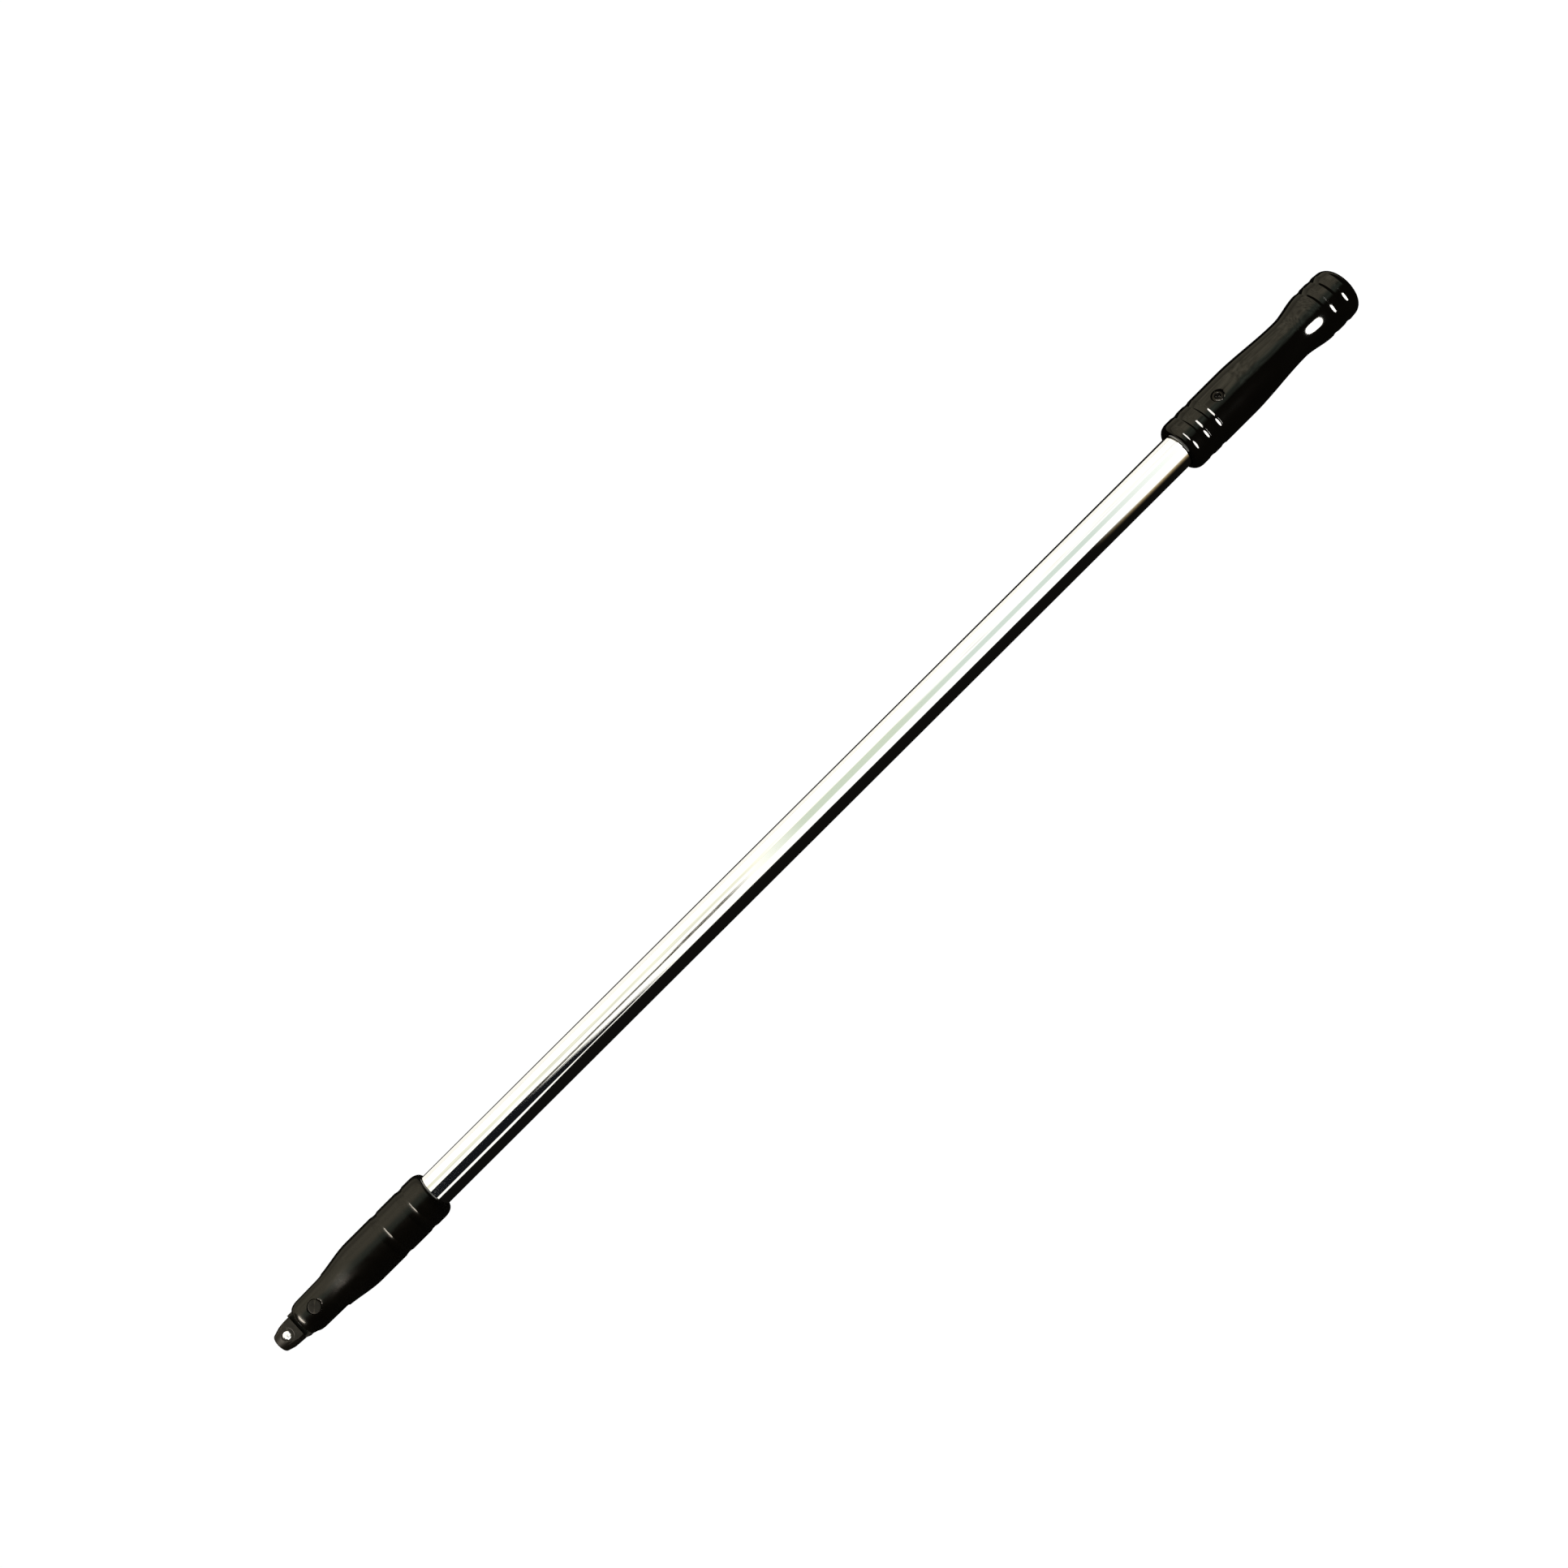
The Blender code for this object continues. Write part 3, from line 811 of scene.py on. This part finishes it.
CAMERA_X = -0.061  # the camera faces the bar square on here
CAMERA_DISTANCE = 0.944
CAMERA_TILT = math.radians(7.8)  # from +Z towards -Y
BAR_SLOPE = math.radians(44.87)  # of the bar in the picture
LENS = 42.55
SENSOR = 36.0
SHIFT = (0.037, 0.0745)


def make_camera():
    towards = Vector((0, -math.sin(CAMERA_TILT), math.cos(CAMERA_TILT)))
    along = Vector((1, 0, 0))
    across = towards.cross(along)
    right = along * math.cos(BAR_SLOPE) - across * math.sin(BAR_SLOPE)
    up = along * math.sin(BAR_SLOPE) + across * math.cos(BAR_SLOPE)
    place = Vector((CAMERA_X, 0, AXIS_Z)) + towards * CAMERA_DISTANCE
    camera = bpy.data.objects.new("camera", bpy.data.cameras.new("camera"))
    camera.matrix_world = Matrix.Translation(place) @ Matrix((right, up, towards)).transposed().to_4x4()
    camera.data.lens = LENS
    camera.data.sensor_width = SENSOR
    camera.data.shift_x, camera.data.shift_y = SHIFT
    bpy.context.scene.collection.objects.link(camera)
    bpy.context.scene.camera = camera


make_camera()


# ---------------------------------------------------------------- stage and light
# Light is placed by X and by psi, the angle in degrees from +Z towards -Y around the bar's axis.
# The polished pieces and the black ones each have their own light.

POLISH_TENT_R = 1.1
PAINT_TENT_R = 1.15
POLISH_TENT_X = (-4.0, 4.0)
PAINT_TENT_X = (-1.4, 1.2)
TENT_PSI = (-90.0, 90.0)
TENT_STRENGTH = 2.0

# Colours of the polished pieces' light
WARM = (0.98, 0.93, 0.82)
TINT = (0.57, 0.565, 0.46)
PALE = (0.66, 0.65, 0.60)
GREEN = (0.34, 0.385, 0.31)
BLUISH = (0.36, 0.41, 0.37)
WHITE = (0.66, 0.66, 0.64)
NAVY = (0.0006, 0.0012, 0.0025)
DASH = (0.02, 0.015, 0.006)
GOLD = (0.22, 0.17, 0.09)
BROWN = (0.04, 0.028, 0.014)
OFF = (0, 0, 0)

# Colours of the black pieces' light
DUSK = (0.66, 0.60, 0.44)
LOW_DUSK = (0.42, 0.38, 0.28)
MOSS = (0.26, 0.31, 0.25)

# Where the sky over the bar changes, along X
MIDDLE_SKY_X = (-0.03, 0.06)
GRIP_SKY_X = (0.20, 0.32)
WHITE_SKY_X = (0.50, 0.66)

DASHES_X = (-0.40, -0.04)
WEDGE_START_X = (-0.58, -0.57)
WEDGE_PSI = (-4.2, 49.5)
WEDGE_END_X = (-0.345, -0.16)  # at the first and the second of these psi
WEDGE_END_PSI = (8, 48)
LIGHT_END_PSI = (63.5, 53.5)  # at the head, and from there on
LIGHT_END_DRIFT = 4.5  # in psi, towards the grip
GOLDEN_X = (0.50, 0.58)  # where the end of the light turns golden


def tent_mesh(name, radius, tent_x, steps=90):
    """An arch over the bar. Its UV runs with X and with psi."""
    mesh = bpy.data.meshes.new(name)
    verts = []
    for i in range(steps + 1):
        psi = math.radians(TENT_PSI[0] + (TENT_PSI[1] - TENT_PSI[0]) * i / steps)
        for x in tent_x:
            verts.append((x, -radius * math.sin(psi), AXIS_Z + radius * math.cos(psi)))
    faces = [(2 * i, 2 * i + 1, 2 * i + 3, 2 * i + 2) for i in range(steps)]
    mesh.from_pydata(verts, [], faces)
    uv = mesh.uv_layers.new(name=name)
    for loop in mesh.loops:
        row, side = divmod(loop.vertex_index, 2)
        uv.data[loop.index].uv = (side, row / steps)
    return mesh


def share(value, limits):
    return (value - limits[0]) / (limits[1] - limits[0])


class Glow(Graph):
    """The light of a tent, as nodes over X and psi."""

    def __init__(self, name, tent_x):
        super().__init__(name)
        self.nodes.clear()
        split = self.nodes.new("ShaderNodeSeparateXYZ")
        self.links.new(self.nodes.new("ShaderNodeTexCoord").outputs["UV"], split.inputs[0])
        self.x = self.mapped(split.outputs["X"], 0, 1, *tent_x, clamp=False)
        self.psi = self.mapped(split.outputs["Y"], 0, 1, *TENT_PSI, clamp=False)
        self.psi_share = split.outputs["Y"]

    def noise(self, x_scale, psi_scale, detail=2.0):
        join = self.nodes.new("ShaderNodeCombineXYZ")
        self.links.new(self.times(self.x, x_scale), join.inputs[0])
        self.links.new(self.times(self.psi, psi_scale), join.inputs[1])
        return self.noise_over(join.outputs[0], detail, 0.5)

    def ramp(self, stops, psi_share=None):
        """Stops are (psi, colour), from low psi to high."""
        node = self.nodes.new("ShaderNodeValToRGB")
        elements = node.color_ramp.elements
        while len(elements) > 1:
            elements.remove(elements[-1])
        elements[0].position = share(stops[0][0], TENT_PSI)
        elements[0].color = (*stops[0][1], 1)
        for psi, colour in stops[1:]:
            elements.new(share(psi, TENT_PSI)).color = (*colour, 1)
        self.links.new(psi_share or self.psi_share, node.inputs[0])
        return node.outputs["Color"]

    def between(self, value, low, high, blur):
        """1 where the value lies between low and high, else 0."""
        rise = self.mapped(value, low - blur, low + blur, 0, 1)
        fall = self.mapped(value, high - blur, high + blur, 1, 0)
        return self.times(rise, fall)


def sky(glow):
    """A bright sky with a greenish band above the bar, which differs along the bar."""
    near_head = glow.ramp(((-90, WARM), (-48, WARM), (-42, TINT), (-28, TINT), (-22, PALE), (90, PALE)))
    middle = glow.ramp(((-90, WARM), (-30, WARM), (-22, GREEN), (12, GREEN), (19, WHITE), (90, WHITE)))
    near_grip = glow.ramp(((-90, WARM), (-21, WHITE), (-14, BLUISH), (9, BLUISH), (16, WHITE), (90, WHITE)))
    colour = glow.mixed(glow.mapped(glow.x, *MIDDLE_SKY_X, 0, 1), near_head, middle)
    colour = glow.mixed(glow.mapped(glow.x, *GRIP_SKY_X, 0, 1), colour, near_grip)
    return glow.mixed(glow.mapped(glow.x, *WHITE_SKY_X, 0, 0.8), colour, WHITE)


def dashes(glow):
    """1 on a row of small dashes that grows wider towards the grip, else 0."""
    wider = glow.mapped(glow.x, -0.16, -0.12, 0, 6)
    rise = glow.mapped(glow.math("ADD", glow.psi, wider), -3, -1, 0, 1)
    row = glow.times(rise, glow.mapped(glow.psi, 8, 9.5, 1, 0))
    broken = glow.mapped(glow.noise(150, 0.3), 0.34, 0.46, 0, 1)
    where = glow.between(glow.x, *DASHES_X, 0.02)
    return glow.times(row, glow.times(broken, where))


def wedge(glow):
    """1 on a patch that narrows to a ragged wedge, else 0."""
    streaks = glow.times(glow.math("SUBTRACT", glow.noise(9, 0.9), 0.5), 0.24)
    edge = glow.mapped(glow.psi, *WEDGE_END_PSI, *WEDGE_END_X)
    passed = glow.math("SUBTRACT", glow.math("ADD", glow.x, streaks), edge)
    before = glow.mapped(passed, -0.01, 0.01, 1, 0)
    after = glow.mapped(glow.x, *WEDGE_START_X, 0, 1)
    return glow.times(glow.between(glow.psi, *WEDGE_PSI, 0.8), glow.times(before, after))


def light_end(glow, colour):
    """The light ends past a psi limit, which drifts along the bar. Near the grip it fades through gold."""
    limit = glow.mapped(glow.x, -0.40, -0.28, *LIGHT_END_PSI)
    limit = glow.math("ADD", limit, glow.mapped(glow.x, -0.1, 0.45, 0, LIGHT_END_DRIFT))
    past = glow.mapped(glow.math("SUBTRACT", glow.psi, limit), -1.0, 1.0, 0, 1)
    golden = glow.ramp(((-90, WHITE), (58, WHITE), (67, GOLD), (80, BROWN), (90, OFF)))
    end = glow.mixed(glow.mapped(glow.x, *GOLDEN_X, 0, 1), OFF, golden)
    return glow.mixed(past, colour, end)


def polish_light():
    glow = Glow("polish_light", POLISH_TENT_X)
    colour = glow.mixed(dashes(glow), sky(glow), DASH)
    colour = glow.mixed(wedge(glow), colour, NAVY)
    colour = light_end(glow, colour)
    # Uneven on the far side, like a sky seen through leaves.
    uneven = glow.mapped(glow.noise(14, 0.13, 4.0), *NOISE_SPAN, 0.65, 1.0)
    near_side = glow.mapped(glow.psi, -32, -22, 0, 1)
    colour = glow.mixed(glow.math("MAXIMUM", uneven, near_side), OFF, colour)
    return glow.light(colour, TENT_STRENGTH)


def paint_light():
    """A dim, cloudy, warm light that ends above the bar, softly and not quite straight."""
    glow = Glow("paint_light", PAINT_TENT_X)
    waver = glow.times(glow.math("SUBTRACT", glow.noise(16, 0.02), 0.5), 26)
    shifted = glow.mapped(glow.math("ADD", glow.psi, waver), *TENT_PSI, 0, 1)
    stops = ((-90, LOW_DUSK), (-55, DUSK), (-34, DUSK), (-18, MOSS), (-8, MOSS), (5, OFF))
    cloud = glow.mapped(glow.noise(26, 0.06, 5.0), 0.34, 0.66, 0.35, 1.0)
    return glow.light(glow.mixed(cloud, OFF, glow.ramp(stops, shifted)), TENT_STRENGTH)


def light_only(source, pieces):
    """The source of light reaches these pieces and no others."""
    receivers = bpy.data.collections.new(source.name + "_receivers")
    for piece in pieces:
        receivers.objects.link(piece)
    source.light_linking.receiver_collection = receivers


def make_tent(name, radius, tent_x, material, pieces):
    tent = show(name, tent_mesh(name, radius, tent_x))
    tent.data.materials.append(material)
    tent.visible_camera = False
    tent.visible_shadow = False
    light_only(tent, pieces)


def lamp(name, pieces, x, psi, distance, size, radiance, colour, aim_x):
    """A soft oval lamp that faces the bar's axis at aim_x. Size is along X and across it."""
    data = bpy.data.lights.new(name, "AREA")
    data.shape = "ELLIPSE"
    data.size, data.size_y = size
    area = math.pi / 4 * size[0] * size[1]
    data.energy = radiance * math.pi * area
    data.color = colour
    obj = bpy.data.objects.new(name, data)
    psi = math.radians(psi)
    place = Vector((x, -distance * math.sin(psi), AXIS_Z + distance * math.cos(psi)))
    back = (place - Vector((aim_x, 0, AXIS_Z))).normalized()
    sideways = Vector((1, 0, 0))
    across = back.cross(sideways).normalized()
    sideways = across.cross(back)
    obj.matrix_world = Matrix.Translation(place) @ Matrix((sideways, across, back)).transposed().to_4x4()
    obj.visible_camera = False
    bpy.context.scene.collection.objects.link(obj)
    light_only(obj, pieces)


FLOOR_GLOW = 1.02
FLOOR_Z = -0.0002  # just below the tool


def make_floor():
    """A floor that glows, so that it is as even and as white as a light table.

    Reflections show the bounces below in its place.
    """
    bm = bmesh.new()
    bmesh.ops.create_grid(bm, x_segments=1, y_segments=1, size=30)
    mesh = bpy.data.meshes.new("floor")
    bm.to_mesh(mesh)
    bm.free()
    floor = show("floor", mesh)
    material = bpy.data.materials.new("floor")
    material.use_nodes = True
    shader = material.node_tree.nodes["Principled BSDF"]
    shader.inputs["Base Color"].default_value = (0.06, 0.06, 0.06, 1)
    shader.inputs["Roughness"].default_value = 0.9
    shader.inputs["Specular IOR Level"].default_value = 0.0
    shader.inputs["Emission Color"].default_value = (1, 1, 1, 1)
    shader.inputs["Emission Strength"].default_value = FLOOR_GLOW
    floor.data.materials.append(material)
    floor.location.z = FLOOR_Z
    floor.visible_glossy = False


BOUNCE_REACH = 1.4  # along X and to the far side


def make_bounce(name, near, height, colour, pieces):
    """A lit part of the floor that shows only in the pieces' far side. Near is its edge, as (x, y) points."""
    verts = [(x, y, 0) for x, y in near] + [(near[-1][0], BOUNCE_REACH, 0), (near[0][0], BOUNCE_REACH, 0)]
    mesh = bpy.data.meshes.new(name)
    mesh.from_pydata(verts, [], [tuple(range(len(verts)))])
    graph = Graph(name)
    graph.nodes.clear()
    material = graph.light(colour, 1.0)
    material.cycles.emission_sampling = "NONE"
    bounce = show(name, mesh)
    bounce.data.materials.append(material)
    bounce.location.z = height
    bounce.visible_camera = False
    bounce.visible_diffuse = False
    light_only(bounce, pieces)


def make_world():
    """White behind everything, and nearly dark in reflections."""
    world = bpy.data.worlds.new("world")
    world.use_nodes = True
    nodes, links = world.node_tree.nodes, world.node_tree.links
    nodes.clear()
    dim = nodes.new("ShaderNodeBackground")
    dim.inputs["Color"].default_value = (0.0050, 0.0046, 0.0040, 1)
    white = nodes.new("ShaderNodeBackground")
    white.inputs["Color"].default_value = (1, 1, 1, 1)
    ray = nodes.new("ShaderNodeLightPath")
    mix = nodes.new("ShaderNodeMixShader")
    output = nodes.new("ShaderNodeOutputWorld")
    links.new(ray.outputs["Is Camera Ray"], mix.inputs[0])
    links.new(dim.outputs[0], mix.inputs[1])
    links.new(white.outputs[0], mix.inputs[2])
    links.new(mix.outputs[0], output.inputs["Surface"])
    bpy.context.scene.world = world


HEAD_END = TIP_X + YOKE_MOUTH_AT
GRIP_START = TIP_X + GRIP_MOUTH_AT
POLISH_EDGE = [
    (-BOUNCE_REACH, 0.027), (HEAD_END, 0.027), (0, 0.033), (GRIP_START, 0.043), (BOUNCE_REACH, 0.043),
]
PAINT_EDGE = [(-BOUNCE_REACH, 0.05), (BOUNCE_REACH, 0.05)]

make_floor()
make_bounce("polish_bounce", POLISH_EDGE, -0.001, (1.1, 1.07, 0.99), POLISHED)
make_bounce("paint_bounce", PAINT_EDGE, -0.002, (0.34, 0.31, 0.23), HEAD + GRIP)
make_tent("polish_tent", POLISH_TENT_R, POLISH_TENT_X, polish_light(), POLISHED)
make_tent("paint_tent", PAINT_TENT_R, PAINT_TENT_X, paint_light(), HEAD + INSIDE + GRIP)
make_world()
lamp(
    "key", GRIP, x=0.367, psi=41, distance=1.0, size=(0.28, 0.68),
    radiance=32, colour=(1.0, 0.97, 0.92), aim_x=0.36,
)
lamp(
    "upper_key", GRIP, x=0.165, psi=-9, distance=1.0, size=(0.19, 0.76),
    radiance=26, colour=(1.0, 0.96, 0.90), aim_x=0.28,
)
lamp(
    "window", HEAD, x=-3.14, psi=-10, distance=2.6, size=(0.70, 3.2),
    radiance=22, colour=(1.0, 0.90, 0.77), aim_x=-0.30,
)
lamp(
    "fill", [BALL], x=-0.45, psi=88, distance=0.5, size=(0.7, 0.5),
    radiance=1.6, colour=(1.0, 0.99, 0.97), aim_x=BALL_MIDDLE.x,
)
bpy.context.scene.view_settings.view_transform = "Standard"
